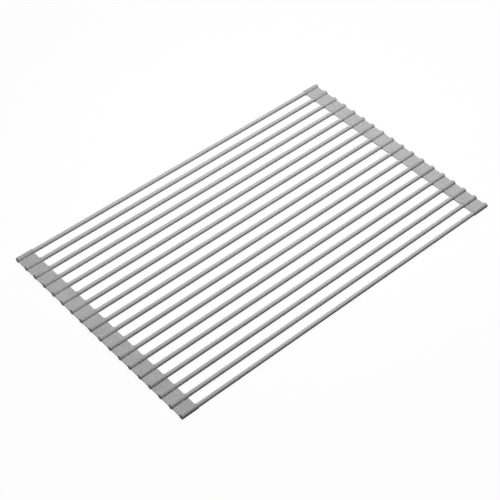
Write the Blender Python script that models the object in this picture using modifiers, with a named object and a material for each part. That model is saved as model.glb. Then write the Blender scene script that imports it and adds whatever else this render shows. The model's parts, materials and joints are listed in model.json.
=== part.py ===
# Roll-up dish drying rack: coated steel tubes held side by side by two flexible end strips.
# Metres, +Z up. The rods run along X, the rack spreads along Y, and it lies flat on z = 0.
# Each end strip is a row of sockets joined by thin webs. It bends only in the webs, so it is
# divided there: one link for each rod end, and a bending line halfway between two rods.

import math

import bmesh
import bpy

# Rack
rod_count = 18
rack_length = 0.520  # over the closed ends of the sockets
rod_pitch = 0.01885

# Rods: a thin steel tube under a bonded silicone skin
rod_diameter = 0.0056
rod_wall = 0.0007
round_sides = 16

# Sockets of the end strips
strip_width = 0.024
socket_wall = 0.00065
socket_end_wall = 0.0015
socket_end_round = 0.0011
seat_clearance = 0.0003

# Webs between the sockets
web_thickness = 0.0018
web_outer_setback = 0.0003
web_inner_setback = 0.0018
web_corner_radius = 0.0015
web_corner_steps = 3
web_edge_round_share = 0.45
bend_line_clearance = 0.00035

merge_distance = 0.00001
round_steps = 2

# Worked out from the sizes above
rod_radius = rod_diameter / 2
bore_radius = rod_radius + seat_clearance
socket_radius = bore_radius + socket_wall
side_turn = math.pi / round_sides  # turns a flat side, and not a corner, to the floor
axis_height = socket_radius * math.cos(side_turn)
rod_length = rack_length - (socket_end_wall + seat_clearance) * 2
bend_line_reach = rod_pitch / 2
bend_line_tip = bend_line_reach - bend_line_clearance
first_rod_y = rod_pitch * (rod_count - 1) / 2

rack_name = "roll_up_dish_drying_rack"
smooth_limit = math.radians(35)


def clear_scene():
    for old in list(bpy.data.objects):
        bpy.data.objects.remove(old, do_unlink=True)


def make_collection(name):
    collection = bpy.data.collections.new(name)
    bpy.context.scene.collection.children.link(collection)
    return collection


def make_material(name, colour, roughness, metallic):
    material = bpy.data.materials.new(name)
    material.use_nodes = True
    shader = material.node_tree.nodes["Principled BSDF"]
    shader.inputs["Base Color"].default_value = (*colour, 1)
    shader.inputs["Roughness"].default_value = roughness
    shader.inputs["Metallic"].default_value = metallic
    return material


def rod_skin():
    return make_material("rod_silicone_skin", (0.36, 0.36, 0.365), 0.5, 0)


def strip_silicone():
    return make_material("strip_silicone", (0.29, 0.295, 0.295), 0.6, 0)


def link_object(name, mesh, collection):
    item = bpy.data.objects.new(name, mesh)
    collection.objects.link(item)
    return item


def finished_mesh(item, name):
    # The evaluated shape as a plain mesh; the object it came from goes
    bpy.context.view_layer.update()
    evaluated = item.evaluated_get(bpy.context.evaluated_depsgraph_get())
    mesh = bpy.data.meshes.new_from_object(evaluated)
    mesh.name = name
    bpy.data.objects.remove(item, do_unlink=True)
    return mesh


def smooth(mesh):
    mesh.shade_smooth()
    mesh.set_sharp_from_angle(angle=smooth_limit)
    return mesh


def turned(name, profile, closed, collection):
    # profile lists (x, radius) points, and turns about X with a flat side facing down
    vertices = [(x, r * math.sin(side_turn), r * math.cos(side_turn)) for x, r in profile]
    edges = [(i, i + 1) for i in range(len(profile) - 1)]
    if closed:
        edges.append((len(profile) - 1, 0))
    mesh = bpy.data.meshes.new(name)
    mesh.from_pydata(vertices, edges, [])
    item = link_object(name, mesh, collection)
    screw = item.modifiers.new("turn", "SCREW")
    screw.axis = "X"
    screw.angle = math.tau
    screw.steps = round_sides
    screw.render_steps = round_sides
    screw.use_merge_vertices = True
    screw.merge_threshold = merge_distance
    return item


def arc(centre_x, centre_y, radius, start, end, steps):
    angles = [start + (end - start) * i / steps for i in range(steps + 1)]
    return [(centre_x + radius * math.cos(a), centre_y + radius * math.sin(a)) for a in angles]


def rod_mesh(collection):
    half = rod_length / 2
    inner = rod_radius - rod_wall
    profile = [(half, rod_radius), (-half, rod_radius), (-half, inner), (half, inner)]
    return smooth(finished_mesh(turned("rod", profile, True, collection), "rod"))


def socket_body(collection):
    # A blind sleeve: closed end at x = 0, mouth at x = strip_width
    shoulder = socket_radius - socket_end_round
    end_round = arc(socket_end_round, shoulder, socket_end_round, math.pi / 2, math.pi, round_steps)
    profile = [
        (socket_end_wall, 0),
        (socket_end_wall, bore_radius),
        (strip_width, bore_radius),
        (strip_width, socket_radius),
        *end_round,
        (0, 0),
    ]
    return turned("socket", profile, False, collection)


def web_outline(toward_back, toward_front):
    # Plan of the web at one socket: a U round the bore, rooted halfway into the socket's walls,
    # with a fillet where its inner edge meets the socket
    outer = web_outer_setback
    inner = strip_width - web_inner_setback
    root = inner + web_corner_radius
    end_seat = socket_end_wall / 2
    seat = socket_radius - socket_wall / 2
    fillet_y = seat + web_corner_radius
    fillet = arc(root, fillet_y, web_corner_radius, math.pi, math.pi * 3 / 2, web_corner_steps)
    side = [(outer, bend_line_tip), (inner, bend_line_tip), *fillet, (end_seat, seat)]
    points = []
    if toward_back:
        points += side
    else:
        points += [(outer, 0), (end_seat, 0)]
    if toward_front:
        points += [(x, -y) for x, y in reversed(side)]
    else:
        points += [(end_seat, 0), (outer, 0)]
    return points


def web_plate(toward_back, toward_front, collection):
    curve = bpy.data.curves.new("web", "CURVE")
    curve.dimensions = "2D"
    curve.fill_mode = "BOTH"
    curve.extrude = web_thickness / 2
    points = web_outline(toward_back, toward_front)
    spline = curve.splines.new("POLY")
    spline.points.add(len(points) - 1)
    for point, (x, y) in zip(spline.points, points):
        point.co = (x, y, 0, 1)
    spline.use_cyclic_u = True
    plate = finished_mesh(link_object("web", curve, collection), "web")
    round_bending_edges(plate)
    return link_object("web", plate, collection)


def round_bending_edges(plate):
    # The long edges beside the bending line are rounded, so that folded neighbours clear
    shape = bmesh.new()
    shape.from_mesh(plate)
    bmesh.ops.remove_doubles(shape, verts=shape.verts, dist=merge_distance)
    long_edges = []
    for edge in shape.edges:
        a, b = (vertex.co for vertex in edge.verts)
        at_tip = all(abs(abs(co.y) - bend_line_tip) < merge_distance for co in (a, b))
        if at_tip and abs(a.x - b.x) > merge_distance:
            long_edges.append(edge)
    bmesh.ops.bevel(
        shape,
        geom=long_edges,
        offset=web_thickness * web_edge_round_share,
        segments=round_steps,
        profile=0.5,
        affect="EDGES",
    )
    shape.to_mesh(plate)
    shape.free()


def link_mesh(name, toward_back, toward_front, collection):
    socket = socket_body(collection)
    web = web_plate(toward_back, toward_front, collection)
    joined = socket.modifiers.new("web", "BOOLEAN")
    joined.operation = "UNION"
    joined.solver = "EXACT"
    joined.object = web
    mesh = finished_mesh(socket, name)
    bpy.data.objects.remove(web, do_unlink=True)
    return smooth(mesh)


def add_pivot(index, parent, collection):
    # Empty on the bending line behind this rod; the first one lies on its own rod's axis
    pivot = bpy.data.objects.new(f"bar_{index + 1:02d}_pivot", None)
    pivot.empty_display_size = rod_pitch
    collection.objects.link(pivot)
    pivot.parent = parent
    if parent is None:
        pivot.location = (0, first_rod_y, axis_height)
    elif index == 1:
        pivot.location = (0, -bend_line_reach, 0)
    else:
        pivot.location = (0, -rod_pitch, 0)
    return pivot


def add_piece(name, mesh, pivot, location, turn, collection):
    piece = link_object(name, mesh, collection)
    piece.parent = pivot
    piece.location = location
    piece.rotation_euler = (0, 0, turn)
    return piece


def paint(mesh, material):
    mesh.materials.clear()
    mesh.materials.append(material)


def add_bar(index, pivot, meshes, collection):
    # One rod with the strip link on each of its ends
    number = f"{index + 1:02d}"
    y = 0 if index == 0 else -bend_line_reach
    half = rack_length / 2
    has_back = index > 0
    has_front = index < rod_count - 1
    left = meshes["link", has_back, has_front]
    right = meshes["link", has_front, has_back]
    add_piece(f"rod_{number}", meshes["rod"], pivot, (0, y, 0), 0, collection)
    add_piece(f"left_link_{number}", left, pivot, (-half, y, 0), 0, collection)
    add_piece(f"right_link_{number}", right, pivot, (half, y, 0), math.pi, collection)


def make_meshes(collection):
    meshes = {"rod": rod_mesh(collection)}
    paint(meshes["rod"], rod_skin())
    silicone = strip_silicone()
    for name, back, front in (("end", True, False), ("end", False, True), ("middle", True, True)):
        mesh = link_mesh(f"{name}_link", back, front, collection)
        paint(mesh, silicone)
        meshes["link", back, front] = mesh
    return meshes


def main():
    clear_scene()
    rack = make_collection(rack_name)
    meshes = make_meshes(rack)
    pivot = None
    for index in range(rod_count):
        pivot = add_pivot(index, pivot, rack)
        add_bar(index, pivot, meshes, rack)
    bpy.context.view_layer.update()


main()
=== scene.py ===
import json
import math

import bpy
from mathutils import Euler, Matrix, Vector

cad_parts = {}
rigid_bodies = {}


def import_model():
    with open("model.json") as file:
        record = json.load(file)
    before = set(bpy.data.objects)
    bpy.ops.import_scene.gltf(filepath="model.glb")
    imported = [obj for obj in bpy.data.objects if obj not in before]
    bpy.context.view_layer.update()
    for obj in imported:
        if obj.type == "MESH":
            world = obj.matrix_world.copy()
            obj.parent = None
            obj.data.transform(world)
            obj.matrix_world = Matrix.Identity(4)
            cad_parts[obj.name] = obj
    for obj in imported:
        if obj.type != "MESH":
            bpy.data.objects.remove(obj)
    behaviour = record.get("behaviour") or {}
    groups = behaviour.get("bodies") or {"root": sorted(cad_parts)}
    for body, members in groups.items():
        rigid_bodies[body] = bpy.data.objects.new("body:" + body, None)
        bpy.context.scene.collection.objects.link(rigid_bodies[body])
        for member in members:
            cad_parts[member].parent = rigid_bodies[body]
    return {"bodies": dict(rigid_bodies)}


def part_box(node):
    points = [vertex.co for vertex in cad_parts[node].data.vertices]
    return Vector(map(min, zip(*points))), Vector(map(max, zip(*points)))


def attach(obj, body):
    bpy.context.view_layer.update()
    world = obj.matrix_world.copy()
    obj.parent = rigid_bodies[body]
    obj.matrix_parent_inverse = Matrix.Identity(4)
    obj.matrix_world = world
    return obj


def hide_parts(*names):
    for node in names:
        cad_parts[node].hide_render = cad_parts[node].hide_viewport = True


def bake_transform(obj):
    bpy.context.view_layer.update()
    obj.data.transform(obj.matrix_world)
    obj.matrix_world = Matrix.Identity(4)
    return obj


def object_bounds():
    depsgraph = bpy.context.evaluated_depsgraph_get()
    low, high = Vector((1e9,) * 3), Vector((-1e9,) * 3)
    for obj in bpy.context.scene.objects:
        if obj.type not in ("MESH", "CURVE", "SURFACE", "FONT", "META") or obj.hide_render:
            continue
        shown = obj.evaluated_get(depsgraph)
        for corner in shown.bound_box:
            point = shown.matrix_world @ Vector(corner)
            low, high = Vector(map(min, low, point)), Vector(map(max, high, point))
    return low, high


# Roll-up dish drying rack: silicone-skinned steel rods held side by side by two soft end strips,
# lying open on a pale floor. Metres; the rods run along X and the row of rods runs along Y.

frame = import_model()
cadLow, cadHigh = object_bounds()

bars = sorted(frame["bodies"])  # bar_01 at the back to the last one at the front


def middleOf(node):
    low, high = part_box(node)
    return (low + high) / 2


firstAxis = middleOf("rod_01")
lastAxis = middleOf(f"rod_{len(bars):02d}")
layout = {
    "rodCount": len(bars),
    "pitch": (firstAxis.y - lastAxis.y) / (len(bars) - 1),
    "firstY": firstAxis.y,
    "axisHeight": firstAxis.z,
    "halfLength": cadHigh.x,  # to the closed outer ends of the strips
}


# small helpers that every node tree below is built with

def newTree(name, kind, inputs, outputs):
    tree = bpy.data.node_groups.new(name, kind)
    for label, socketType, value in inputs:
        socket = tree.interface.new_socket(name=label, in_out="INPUT", socket_type=socketType)
        if value is not None:
            socket.default_value = value
    for label, socketType in outputs:
        tree.interface.new_socket(name=label, in_out="OUTPUT", socket_type=socketType)
    entry = tree.nodes.new("NodeGroupInput")
    return tree, entry.outputs, tree.nodes.new("NodeGroupOutput").inputs


def feed(tree, socket, value):
    # a link where value is another node's output, and otherwise the socket's own value
    if isinstance(value, bpy.types.NodeSocket):
        tree.links.new(value, socket)
    else:
        socket.default_value = value


def addNode(tree, kind, values=None, **settings):
    node = tree.nodes.new(kind)
    for name, value in settings.items():
        setattr(node, name, value)
    for key, value in (values or {}).items():
        feed(tree, node.inputs[key], value)
    return node


def calc(tree, operation, *values, clamped=False):
    node = addNode(tree, "ShaderNodeMath", operation=operation, use_clamp=clamped)
    for socket, value in zip(node.inputs, values):
        feed(tree, socket, value)
    return node.outputs[0]


def joinedVector(tree, x=0.0, y=0.0, z=0.0):
    return addNode(tree, "ShaderNodeCombineXYZ", {"X": x, "Y": y, "Z": z}).outputs[0]


def mixedColour(tree, factor, first, second):
    # 6, 7 and 2 are the Mix node's colour sockets
    mix = addNode(tree, "ShaderNodeMix", {"Factor": factor, 6: first, 7: second}, data_type="RGBA")
    return mix.outputs[2]


def opaque(colour):
    return (*colour, 1)


def arrangeNodes(tree):
    # columns by how far each node stands from the tree's inputs, so that the tree can be read
    columnWidth, rowHeight = 200, 190
    depth = {node: 0 for node in tree.nodes}
    for _ in range(len(tree.nodes)):
        moved = False
        for link in tree.links:
            if depth[link.to_node] < depth[link.from_node] + 1:
                depth[link.to_node] = depth[link.from_node] + 1
                moved = True
        if not moved:
            break
    rows = {}
    for node in tree.nodes:
        column = depth[node]
        node.location = (column * columnWidth, -rows.get(column, 0) * rowHeight)
        rows[column] = rows.get(column, 0) + 1


# what both geometry trees share: one piece out of the row of bars

def placeInRow(tree, piece, entry, x=0.0, turn=0.0):
    # the row's places are the points of a line, and only the asked bar's place gets the piece
    row = addNode(tree, "GeometryNodeMeshLine", {
        "Count": entry["Bar Count"],
        "Start Location": joinedVector(tree, x, entry["First Bar Y"], entry["Axis Height"]),
        "Offset": joinedVector(tree, 0.0, calc(tree, "MULTIPLY", entry["Pitch"], -1.0), 0.0),
    })
    place = addNode(tree, "GeometryNodeInputIndex").outputs[0]
    chosen = addNode(tree, "FunctionNodeCompare", data_type="INT", operation="EQUAL")
    feed(tree, chosen.inputs[2], place)
    feed(tree, chosen.inputs[3], entry["Bar"])
    put = addNode(tree, "GeometryNodeInstanceOnPoints", {
        "Points": row.outputs[0],
        "Selection": chosen.outputs[0],
        "Instance": piece,
        "Rotation": joinedVector(tree, 0.0, 0.0, turn),
    })
    solid = addNode(tree, "GeometryNodeRealizeInstances", {"Geometry": put.outputs[0]})
    painted = addNode(tree, "GeometryNodeSetMaterial", {
        "Geometry": solid.outputs[0], "Material": entry["Material"]})
    return painted.outputs[0]


rowInputs = [
    ("Bar Count", "NodeSocketInt", layout["rodCount"]),
    ("Bar", "NodeSocketInt", 0),
    ("Pitch", "NodeSocketFloat", layout["pitch"]),
    ("First Bar Y", "NodeSocketFloat", layout["firstY"]),
    ("Axis Height", "NodeSocketFloat", layout["axisHeight"]),
    ("Material", "NodeSocketMaterial", None),
]


def builtPiece(name, tree, inputs, changes, creaseAngle):
    # the tree makes the piece once; what stays is a plain mesh on an object at the origin
    values = {label: value for label, socketType, value in inputs} | changes
    piece = bpy.data.objects.new(name, bpy.data.meshes.new(name))
    bpy.context.scene.collection.objects.link(piece)
    builder = piece.modifiers.new("build", "NODES")
    builder.node_group = tree
    for item in tree.interface.items_tree:
        if item.in_out == "INPUT":
            builder[item.identifier] = values[item.name]
    piece.update_tag()
    bpy.context.view_layer.update()
    evaluated = piece.evaluated_get(bpy.context.evaluated_depsgraph_get())
    mesh = bpy.data.meshes.new_from_object(evaluated)
    piece.modifiers.remove(builder)
    piece.data = mesh
    mesh.name = name
    mesh.materials.clear()
    mesh.materials.append(values["Material"])
    mesh.polygons.foreach_set("material_index", [0] * len(mesh.polygons))
    mesh.shade_smooth()
    mesh.set_sharp_from_angle(angle=creaseAngle)
    return piece


# surface effects, used by both silicones and, in part, by the floor

def grainGroup():
    # fine matte grain of moulded silicone, as a height
    tree, entry, out = newTree("siliconeGrain", "ShaderNodeTree", [
        ("Vector", "NodeSocketVector", None),
        ("Grain Size", "NodeSocketFloat", 0.0003),
        ("Wave Size", "NodeSocketFloat", 0.004),
        ("Wave Share", "NodeSocketFloat", 0.3),
    ], [("Height", "NodeSocketFloat")])
    fine = addNode(tree, "ShaderNodeTexNoise", {
        "Vector": entry["Vector"],
        "Scale": calc(tree, "DIVIDE", 1.0, entry["Grain Size"]),
        "Detail": 2.0, "Roughness": 0.6})
    wave = addNode(tree, "ShaderNodeTexNoise", {
        "Vector": entry["Vector"],
        "Scale": calc(tree, "DIVIDE", 1.0, entry["Wave Size"]),
        "Detail": 1.0, "Roughness": 0.4})
    mixed = addNode(tree, "ShaderNodeMix", {
        "Factor": entry["Wave Share"], "A": fine.outputs[0], "B": wave.outputs[0]})
    feed(tree, out["Height"], mixed.outputs[0])
    arrangeNodes(tree)
    return tree


def toneGroup():
    # the slow drift of the pigment, with a faint speckle on it
    tree, entry, out = newTree("pigmentTone", "ShaderNodeTree", [
        ("Vector", "NodeSocketVector", None),
        ("Colour", "NodeSocketColor", (0.4, 0.4, 0.4, 1)),
        ("Deep Colour", "NodeSocketColor", (0.35, 0.35, 0.35, 1)),
        ("Drift Size", "NodeSocketFloat", 0.05),
        ("Speckle Size", "NodeSocketFloat", 0.0006),
        ("Speckle Share", "NodeSocketFloat", 0.3),
    ], [("Colour", "NodeSocketColor"), ("Tone", "NodeSocketFloat")])
    drift = addNode(tree, "ShaderNodeTexNoise", {
        "Vector": entry["Vector"],
        "Scale": calc(tree, "DIVIDE", 1.0, entry["Drift Size"]),
        "Detail": 3.0, "Roughness": 0.55})
    speckle = addNode(tree, "ShaderNodeTexNoise", {
        "Vector": entry["Vector"],
        "Scale": calc(tree, "DIVIDE", 1.0, entry["Speckle Size"]),
        "Detail": 2.0, "Roughness": 0.7})
    both = addNode(tree, "ShaderNodeMix", {
        "Factor": entry["Speckle Share"], "A": drift.outputs[0], "B": speckle.outputs[0]})
    tone = addNode(tree, "ShaderNodeMapRange", {
        "Value": both.outputs[0], "From Min": 0.35, "From Max": 0.65}).outputs[0]
    feed(tree, out["Colour"], mixedColour(tree, tone, entry["Deep Colour"], entry["Colour"]))
    feed(tree, out["Tone"], tone)
    arrangeNodes(tree)
    return tree


def dustGroup():
    # sparse pale specks of lint, as a mask
    tree, entry, out = newTree("lintDust", "ShaderNodeTree", [
        ("Vector", "NodeSocketVector", None),
        ("Spacing", "NodeSocketFloat", 0.004),
        ("Speck Radius", "NodeSocketFloat", 0.05),
        ("Amount", "NodeSocketFloat", 0.3),
    ], [("Mask", "NodeSocketFloat")])
    cells = addNode(tree, "ShaderNodeTexVoronoi", {
        "Vector": entry["Vector"],
        "Scale": calc(tree, "DIVIDE", 1.0, entry["Spacing"])})
    speck = calc(tree, "LESS_THAN", cells.outputs["Distance"], entry["Speck Radius"])
    feed(tree, out["Mask"], calc(tree, "MULTIPLY", speck, entry["Amount"]))
    arrangeNodes(tree)
    return tree


grainEffect = grainGroup()
toneEffect = toneGroup()
dustEffect = dustGroup()


def effectNode(tree, group, values):
    node = tree.nodes.new("ShaderNodeGroup")
    node.node_tree = group
    for name, value in values.items():
        feed(tree, node.inputs[name], value)
    return node.outputs


def siliconeMaterial(name, look):
    material = bpy.data.materials.new(name)
    material.use_nodes = True
    material.diffuse_color = opaque(look["colour"])
    tree = material.node_tree
    shader = tree.nodes["Principled BSDF"]
    coords = addNode(tree, "ShaderNodeTexCoord").outputs["Object"]
    # the pattern may be drawn out along the rods, as an extruded skin is
    drawn = addNode(tree, "ShaderNodeMapping", {
        "Vector": coords, "Scale": (look["drawnShare"], 1, 1)}).outputs[0]
    tone = effectNode(tree, toneEffect, {
        "Vector": drawn,
        "Colour": opaque(look["colour"]),
        "Deep Colour": opaque(look["deepColour"]),
        "Drift Size": look["driftSize"],
        "Speckle Size": look["speckleSize"],
        "Speckle Share": look["speckleShare"]})
    dust = effectNode(tree, dustEffect, {
        "Vector": coords,
        "Spacing": look["dustSpacing"],
        "Speck Radius": look["dustRadius"],
        "Amount": look["dustAmount"]})
    colour = mixedColour(tree, dust["Mask"], tone["Colour"], opaque(look["dustColour"]))
    feed(tree, shader.inputs["Base Color"], colour)
    rough = addNode(tree, "ShaderNodeMapRange", {
        "Value": tone["Tone"], "To Min": look["roughness"][0], "To Max": look["roughness"][1]})
    feed(tree, shader.inputs["Roughness"], rough.outputs[0])
    grain = effectNode(tree, grainEffect, {
        "Vector": drawn,
        "Grain Size": look["grainSize"],
        "Wave Size": look["waveSize"],
        "Wave Share": look["waveShare"]})
    bump = addNode(tree, "ShaderNodeBump", {
        "Height": grain["Height"], "Strength": look["bumpStrength"], "Distance": look["bumpDepth"]})
    feed(tree, shader.inputs["Normal"], bump.outputs[0])
    shader.inputs["IOR"].default_value = look["ior"]
    shader.inputs["Specular IOR Level"].default_value = look["specular"]
    arrangeNodes(tree)
    return material


rods = {
    "length": 0.5164,
    "diameter": 0.0057,
    "sides": 48,
    "creaseAngle": math.radians(40),
}

rodLook = {
    "colour": (0.554, 0.554, 0.554),
    "deepColour": (0.502, 0.502, 0.502),
    "drawnShare": 0.2,
    "driftSize": 0.03,
    "speckleSize": 0.0005,
    "speckleShare": 0.35,
    "roughness": (0.6, 0.52),
    "grainSize": 0.0003,
    "waveSize": 0.003,
    "waveShare": 0.3,
    "bumpStrength": 0.25,
    "bumpDepth": 0.00004,
    "dustColour": (0.7, 0.7, 0.68),
    "dustSpacing": 0.006,
    "dustRadius": 0.04,
    "dustAmount": 0.25,
    "ior": 1.41,
    "specular": 0.08,
}


rodInputs = rowInputs + [
    ("Length", "NodeSocketFloat", rods["length"]),
    ("Diameter", "NodeSocketFloat", rods["diameter"]),
    ("Sides", "NodeSocketInt", rods["sides"]),
]


def rodTree():
    tree, entry, out = newTree(
        "rackRods", "GeometryNodeTree", rodInputs, [("Geometry", "NodeSocketGeometry")])
    half = calc(tree, "MULTIPLY", entry["Length"], 0.5)
    line = addNode(tree, "GeometryNodeCurvePrimitiveLine", {
        "Start": joinedVector(tree, calc(tree, "MULTIPLY", half, -1.0)),
        "End": joinedVector(tree, half)})
    section = addNode(tree, "GeometryNodeCurvePrimitiveCircle", {
        "Resolution": entry["Sides"],
        "Radius": calc(tree, "MULTIPLY", entry["Diameter"], 0.5)})
    rod = addNode(tree, "GeometryNodeCurveToMesh", {
        "Curve": line.outputs[0], "Profile Curve": section.outputs[0], "Fill Caps": True})
    feed(tree, out["Geometry"], placeInRow(tree, rod.outputs[0], entry))
    arrangeNodes(tree)
    return tree


rodSkin = siliconeMaterial("rodSkin", rodLook)
rodBuilder = rodTree()
for place, bar in enumerate(bars):
    number = f"{place + 1:02d}"
    rod = builtPiece(f"rodSkin{number}", rodBuilder, rodInputs, {
        "Bar": place, "Material": rodSkin}, rods["creaseAngle"])
    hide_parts(f"rod_{number}")
    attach(rod, bar)
print("rods built:", layout["rodCount"])


rodClearance = 0.00006  # keeps a rod's skin and its bore from lying in one surface

strips = {
    "width": 0.02416,
    "socketDiameter": 0.007,
    "boreDiameter": rods["diameter"] + rodClearance,
    "endWall": 0.0016,
    "endRound": 0.0004,
    "mouthRound": 0.0002,
    "webTop": 0.0001,  # the web's upper face, above the rods' axes
    "webThickness": 0.0013,
    "webFillet": 0.0005,
    "cornerRadius": 0.00012,
    "outerSetback": 0.00006,
    "innerSetback": 0.00015,
    "edgeRound": 0.00024,
    "sides": 48,
    "roundSteps": 5,
    "endMargin": 1.3,  # in end rounds, where the socket's straight side starts
    "mouthMargin": 2.0,  # in mouth rounds, where it ends
    "sweepRadius": 0.000001,
    "weldDistance": 0.00001,
    "webGrid": (12, 41, 4),  # columns across the strip, stations from socket to socket, rows
    "gatherPower": 1.6,
    "seatShare": 0.79,  # in socket radii, how near to the axis the web starts
    "seatSlope": 1.3,  # how fast the web thins inside the socket's wall
    "creaseAngle": math.radians(50),
}

stripLook = {
    "colour": (0.53, 0.532, 0.53),
    "deepColour": (0.36, 0.362, 0.36),
    "drawnShare": 1.0,
    "driftSize": 0.02,
    "speckleSize": 0.0018,
    "speckleShare": 0.75,
    "roughness": (0.5, 0.4),
    "grainSize": 0.00035,
    "waveSize": 0.005,
    "waveShare": 0.35,
    "bumpStrength": 0.35,
    "bumpDepth": 0.00006,
    "dustColour": (0.68, 0.68, 0.66),
    "dustSpacing": 0.005,
    "dustRadius": 0.04,
    "dustAmount": 0.3,
    "ior": 1.41,
    "specular": 0.08,
}


def socketProfile(tree, entry):
    # half section of a blind socket as (radius, distance from the closed end) corners,
    # from the bottom of the bore round the mouth to the middle of the closed end
    outer = calc(tree, "MULTIPLY", entry["Socket Diameter"], 0.5)
    bore = calc(tree, "MULTIPLY", entry["Bore Diameter"], 0.5)
    width = entry["Strip Width"]
    endRound, mouthRound = entry["End Round"], entry["Mouth Round"]
    nearMouth = calc(tree, "SUBTRACT", width, calc(
        tree, "MULTIPLY", mouthRound, strips["mouthMargin"]))
    nearEnd = calc(tree, "MULTIPLY", endRound, strips["endMargin"])
    corners = [
        (0.0, entry["End Wall"], 0.0),
        (bore, entry["End Wall"], 0.0),
        (bore, width, mouthRound),
        (outer, width, mouthRound),
        (outer, nearMouth, 0.0),
        (outer, nearEnd, 0.0),
        (outer, 0.0, endRound),
        (0.0, 0.0, 0.0),
    ]
    line = addNode(tree, "GeometryNodeMeshLine", {"Count": len(corners)})
    index = addNode(tree, "GeometryNodeInputIndex").outputs[0]
    places = addNode(tree, "GeometryNodeIndexSwitch", data_type="VECTOR")
    rounds = addNode(tree, "GeometryNodeIndexSwitch", data_type="FLOAT")
    for node in (places, rounds):
        while len(node.index_switch_items) < len(corners):
            node.index_switch_items.new()
        feed(tree, node.inputs[0], index)
    for number, (radius, along, rounding) in enumerate(corners):
        feed(tree, places.inputs[number + 1], joinedVector(tree, radius, along))
        feed(tree, rounds.inputs[number + 1], rounding)
    curve = addNode(tree, "GeometryNodeMeshToCurve", {"Mesh": addNode(
        tree, "GeometryNodeSetPosition", {
            "Geometry": line.outputs[0], "Position": places.outputs[0]}).outputs[0]})
    filleted = addNode(tree, "GeometryNodeFilletCurve", {
        "Curve": curve.outputs[0], "Count": strips["roundSteps"], "Radius": rounds.outputs[0],
        "Limit Radius": True}, mode="POLY")
    return filleted.outputs[0]


def socketShape(tree, entry):
    # the half section swept round a very small circle, then laid along X
    circle = addNode(tree, "GeometryNodeCurvePrimitiveCircle", {
        "Resolution": entry["Sides"], "Radius": strips["sweepRadius"]})
    turned = addNode(tree, "GeometryNodeCurveToMesh", {
        "Curve": circle.outputs[0], "Profile Curve": socketProfile(tree, entry)})
    merged = addNode(tree, "GeometryNodeMergeByDistance", {
        "Geometry": turned.outputs[0], "Distance": strips["weldDistance"]})
    outward = addNode(tree, "GeometryNodeFlipFaces", {"Mesh": merged.outputs[0]})
    return outward.outputs[0]


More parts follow.
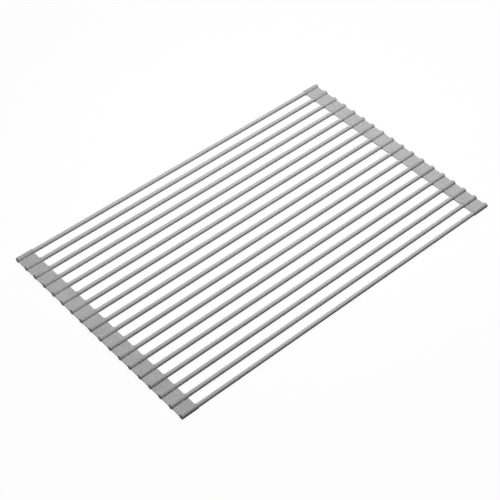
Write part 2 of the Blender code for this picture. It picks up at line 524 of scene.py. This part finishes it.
def webShape(tree, entry):
    # A box of columns (across X), stations (along Y) and rows (up Z) whose points are moved to the
    # web's form. It spans from inside one socket's wall to inside the next one's.
    def step(operation):
        return lambda *values, clamped=False: calc(tree, operation, *values, clamped=clamped)

    add, less, times, over = step("ADD"), step("SUBTRACT"), step("MULTIPLY"), step("DIVIDE")
    most, least = step("MAXIMUM"), step("MINIMUM")
    absolute, sign, power = step("ABSOLUTE"), step("SIGN"), step("POWER")
    isAbove = step("GREATER_THAN")

    def leg(longest, other):
        # the second short side of a right triangle
        return calc(tree, "SQRT", less(times(longest, longest), times(other, other)))

    columns, stations, rows = strips["webGrid"]
    box = addNode(tree, "GeometryNodeMeshCube", {
        "Size": (1, 1, 1), "Vertices X": columns, "Vertices Y": stations, "Vertices Z": rows})
    at = addNode(tree, "ShaderNodeSeparateXYZ", {
        "Vector": addNode(tree, "GeometryNodeInputPosition").outputs[0]}).outputs
    radius = times(entry["Socket Diameter"], 0.5)
    halfPitch = times(entry["Pitch"], 0.5)
    # how far the web's upper or lower face lies from the rods' axes
    isUpper = isAbove(at["Z"], 0.0)
    lowerReach = less(entry["Web Thickness"], entry["Web Top"])
    webFace = add(lowerReach, times(isUpper, less(entry["Web Top"], lowerReach)))

    # stations gather towards the sockets, where the form changes
    across = times(absolute(at["Y"]), 2.0)
    gathered = less(1.0, power(less(1.0, across, clamped=True), strips["gatherPower"]))
    seat = times(radius, strips["seatShare"])
    fromMiddle = times(gathered, less(halfPitch, seat))
    fromAxis = less(halfPitch, fromMiddle)
    y = less(times(sign(at["Y"]), fromMiddle), halfPitch)

    # the fillet's arc touches the web's face and the socket's round
    fillet = entry["Web Fillet"]
    reach = add(radius, fillet)
    rise = add(webFace, fillet)
    filletStart = leg(reach, rise)
    touch = times(filletStart, over(radius, reach))
    into = most(less(filletStart, most(fromAxis, touch)), 0.0)
    arc = less(fillet, leg(fillet, into))
    buried = most(less(touch, fromAxis), 0.0)
    half = less(add(webFace, arc), times(buried, strips["seatSlope"]))

    # outer edge: steps in beside the sockets' rounded ends
    besideSocket = over(less(filletStart, fromAxis), less(filletStart, touch), clamped=True)
    outerX = add(entry["Outer Setback"], times(
        besideSocket, less(entry["End Round"], entry["Outer Setback"])))
    # inner edge: a plan fillet into each socket's side
    corner = entry["Corner Radius"]
    intoCorner = least(most(less(add(radius, corner), fromAxis), 0.0), corner)
    innerX = add(
        less(entry["Strip Width"], entry["Inner Setback"]), less(corner, leg(corner, intoCorner)))

    # rounded edges: the outermost column and row, each a rounding away from its neighbour, with a
    # narrow flat column next to them that keeps the faces flat
    edge = entry["Edge Round"]
    edgeColumns = 2.0
    lastColumn = columns - 1.0
    column = times(add(at["X"], 0.5), lastColumn)
    nearOuter = least(column, edgeColumns)
    nearInner = least(less(lastColumn, column), edgeColumns)
    between = over(less(column, edgeColumns), lastColumn - 2 * edgeColumns, clamped=True)
    margin = times(edge, edgeColumns)
    span = less(less(innerX, outerX), times(margin, 2.0))
    x = add(add(outerX, times(nearOuter, edge)), add(
        times(between, span), less(margin, times(nearInner, edge))))
    outerFlag = less(1.0, nearOuter, clamped=True)
    innerFlag = less(1.0, nearInner, clamped=True)
    # the outermost rows stand at 1 here, the inner ones at a third
    isOutRow = isAbove(times(absolute(at["Z"]), 2.0), 0.9)
    cut = times(times(most(outerFlag, innerFlag), isOutRow), times(edge, 1 - math.sqrt(0.5)))
    x = add(x, times(cut, less(outerFlag, innerFlag)))
    height = less(less(half, times(less(1.0, isOutRow), edge)), cut)
    z = times(sign(at["Z"]), height)
    shaped = addNode(tree, "GeometryNodeSetPosition", {
        "Geometry": box.outputs[0], "Position": joinedVector(tree, x, y, z)})
    return shaped.outputs[0]


stripInputs = rowInputs + [
    ("Strip Width", "NodeSocketFloat", strips["width"]),
    ("Socket Diameter", "NodeSocketFloat", strips["socketDiameter"]),
    ("Bore Diameter", "NodeSocketFloat", strips["boreDiameter"]),
    ("End Wall", "NodeSocketFloat", strips["endWall"]),
    ("End Round", "NodeSocketFloat", strips["endRound"]),
    ("Mouth Round", "NodeSocketFloat", strips["mouthRound"]),
    ("Web Top", "NodeSocketFloat", strips["webTop"]),
    ("Web Thickness", "NodeSocketFloat", strips["webThickness"]),
    ("Web Fillet", "NodeSocketFloat", strips["webFillet"]),
    ("Corner Radius", "NodeSocketFloat", strips["cornerRadius"]),
    ("Outer Setback", "NodeSocketFloat", strips["outerSetback"]),
    ("Inner Setback", "NodeSocketFloat", strips["innerSetback"]),
    ("Edge Round", "NodeSocketFloat", strips["edgeRound"]),
    ("Outer End X", "NodeSocketFloat", 0.0),
    ("Turn", "NodeSocketFloat", 0.0),
    ("Has Web", "NodeSocketBool", True),
    ("Sides", "NodeSocketInt", strips["sides"]),
]


def stripTree():
    tree, entry, out = newTree(
        "endStripLinks", "GeometryNodeTree", stripInputs, [("Geometry", "NodeSocketGeometry")])
    socket = addNode(tree, "GeometryNodeTransform", {
        "Geometry": socketShape(tree, entry), "Rotation": (0, -math.pi / 2, 0)})
    web = addNode(tree, "GeometryNodeSwitch", {
        "Switch": entry["Has Web"], "True": webShape(tree, entry)}, input_type="GEOMETRY")
    link = addNode(tree, "GeometryNodeJoinGeometry")
    tree.links.new(socket.outputs[0], link.inputs[0])
    tree.links.new(web.outputs[0], link.inputs[0])
    feed(tree, out["Geometry"], placeInRow(
        tree, link.outputs[0], entry, entry["Outer End X"], entry["Turn"]))
    arrangeNodes(tree)
    return tree


stripSilicone = siliconeMaterial("stripSilicone", stripLook)
stripBuilder = stripTree()


def addLink(side, place):
    # a socket with the web to its neighbour: towards the front on the left strip, and, as the
    # same link turned half round, towards the back on the right strip
    isLeft = side == "left"
    neighbour = place + 1 if isLeft else place - 1
    hasWeb = 0 <= neighbour < layout["rodCount"]
    number = f"{place + 1:02d}"
    link = builtPiece(f"{side}StripLink{number}", stripBuilder, stripInputs, {
        "Bar": place, "Has Web": hasWeb, "Material": stripSilicone,
        "Outer End X": -layout["halfLength"] if isLeft else layout["halfLength"],
        "Turn": 0.0 if isLeft else math.pi}, strips["creaseAngle"])
    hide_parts(f"{side}_link_{number}")
    if not hasWeb:
        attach(link, bars[place])
        return
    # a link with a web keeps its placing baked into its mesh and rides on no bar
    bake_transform(link)


for side in ("left", "right"):
    for place in range(layout["rodCount"]):
        addLink(side, place)
    print(side, "strip built")


white = (1, 1, 1, 1)
floorClearance = 0.00002  # under the sockets

floor = {
    "size": 40.0,
    "height": layout["axisHeight"] - strips["socketDiameter"] / 2 - floorClearance,
    "colour": (0.95, 0.95, 0.95),
    "deepShare": 0.99,
    "driftSize": 0.5,
    "speckleSize": 0.002,
    "speckleShare": 0.2,
    "roughness": 0.9,
    "bounceColour": (0.06, 0.06, 0.06),  # what the underside of the rack sees
    "whiteShare": 0.945,  # how much of the floor's look is plain white; the rest takes the shadow
    "fade": (0.5, 2.5),  # from the middle outwards, where the floor turns to plain white
}


def seenItself(tree):
    # 1 where the camera, a reflection or glass sees it, 0 for the light that it gives the rack
    rays = addNode(tree, "ShaderNodeLightPath").outputs
    return calc(tree, "MAXIMUM", rays["Is Camera Ray"], calc(
        tree, "MAXIMUM", rays["Is Glossy Ray"], rays["Is Transmission Ray"]))


def floorMaterial():
    material = bpy.data.materials.new("paleFloor")
    material.use_nodes = True
    tree = material.node_tree
    shader = tree.nodes["Principled BSDF"]
    output = tree.nodes["Material Output"]
    coords = addNode(tree, "ShaderNodeTexCoord").outputs["Object"]
    tone = effectNode(tree, toneEffect, {
        "Vector": coords,
        "Colour": opaque(floor["colour"]),
        "Deep Colour": opaque([c * floor["deepShare"] for c in floor["colour"]]),
        "Drift Size": floor["driftSize"],
        "Speckle Size": floor["speckleSize"],
        "Speckle Share": floor["speckleShare"]})
    seen = seenItself(tree)
    colour = mixedColour(tree, seen, opaque(floor["bounceColour"]), tone["Colour"])
    feed(tree, shader.inputs["Base Color"], colour)
    shader.inputs["Roughness"].default_value = floor["roughness"]
    shader.inputs["Specular IOR Level"].default_value = 0.0
    glow = addNode(tree, "ShaderNodeEmission", {"Color": white, "Strength": 1.0})
    fromMiddle = addNode(tree, "ShaderNodeVectorMath", {0: coords}, operation="LENGTH")
    glowShare = addNode(tree, "ShaderNodeMapRange", {
        "Value": fromMiddle.outputs["Value"],
        "From Min": floor["fade"][0], "From Max": floor["fade"][1],
        "To Min": floor["whiteShare"], "To Max": 1.0}, interpolation_type="SMOOTHSTEP")
    mixed = addNode(tree, "ShaderNodeMixShader", {
        0: calc(tree, "MULTIPLY", seen, glowShare.outputs[0]),
        1: shader.outputs[0],
        2: glow.outputs[0]})
    feed(tree, output.inputs["Surface"], mixed.outputs[0])
    arrangeNodes(tree)
    return material


def addFloor():
    half = floor["size"] / 2
    mesh = bpy.data.meshes.new("floor")
    corners = [(-half, -half), (half, -half), (half, half), (-half, half)]
    mesh.from_pydata([(x, y, floor["height"]) for x, y in corners], [], [(0, 1, 2, 3)])
    plane = bpy.data.objects.new("floor", mesh)
    bpy.context.scene.collection.objects.link(plane)
    mesh.materials.append(floorMaterial())


addFloor()

room = {
    "fill": 0.02,  # the light of the world on the rack
    "background": 1.0,  # what the camera sees of it, which is plain white
}


def addRoom():
    world = bpy.data.worlds.new("studio")
    bpy.context.scene.world = world
    world.use_nodes = True
    tree = world.node_tree
    tree.nodes.clear()
    fill = addNode(tree, "ShaderNodeBackground", {"Color": white, "Strength": room["fill"]})
    back = addNode(tree, "ShaderNodeBackground", {"Color": white, "Strength": room["background"]})
    mixed = addNode(tree, "ShaderNodeMixShader", {
        0: seenItself(tree), 1: fill.outputs[0], 2: back.outputs[0]})
    output = tree.nodes.new("ShaderNodeOutputWorld")
    feed(tree, output.inputs["Surface"], mixed.outputs[0])
    arrangeNodes(tree)


addRoom()

lamps = {
    "softboxOnTheRight": {
        "place": (1.67, 0.45, 2.2), "aim": (0.0, 0.0, 0.0), "size": 0.9, "power": 43.2},
    "overheadPanel": {
        "place": (0.06, 0.08, 0.6), "aim": (0.06, 0.08, 0.0), "size": 0.3, "power": 2.3},
    "sideFill": {
        "place": (-1.6, 0.1, 0.7), "aim": (0.0, 0.0, 0.0), "size": 0.5, "power": 2.8},
}


def addLamp(name, lamp):
    light = bpy.data.lights.new(name, "AREA")
    light.shape = "SQUARE"
    light.size = lamp["size"]
    light.energy = lamp["power"]
    holder = bpy.data.objects.new(name, light)
    holder.location = lamp["place"]
    toward = Vector(lamp["aim"]) - Vector(lamp["place"])
    holder.rotation_euler = toward.to_track_quat("-Z", "Y").to_euler()
    bpy.context.scene.collection.objects.link(holder)


for name, lamp in lamps.items():
    addLamp(name, lamp)

camera = {
    "place": (-0.80472, -0.862768, 1.220343),
    "turn": (43.3254, -0.7732, -41.775),  # degrees
    "lens": 95.1,
    "sensor": 36.0,
    "clip": (0.01, 50),
}


def addCamera():
    lens = bpy.data.cameras.new("camera")
    lens.lens = camera["lens"]
    lens.sensor_width = camera["sensor"]
    lens.clip_start, lens.clip_end = camera["clip"]
    holder = bpy.data.objects.new("camera", lens)
    holder.location = camera["place"]
    holder.rotation_euler = Euler([math.radians(a) for a in camera["turn"]], "XYZ")
    bpy.context.scene.collection.objects.link(holder)
    bpy.context.scene.camera = holder


addCamera()
bpy.context.scene.view_settings.view_transform = "Standard"
print("floor, light and camera ready")
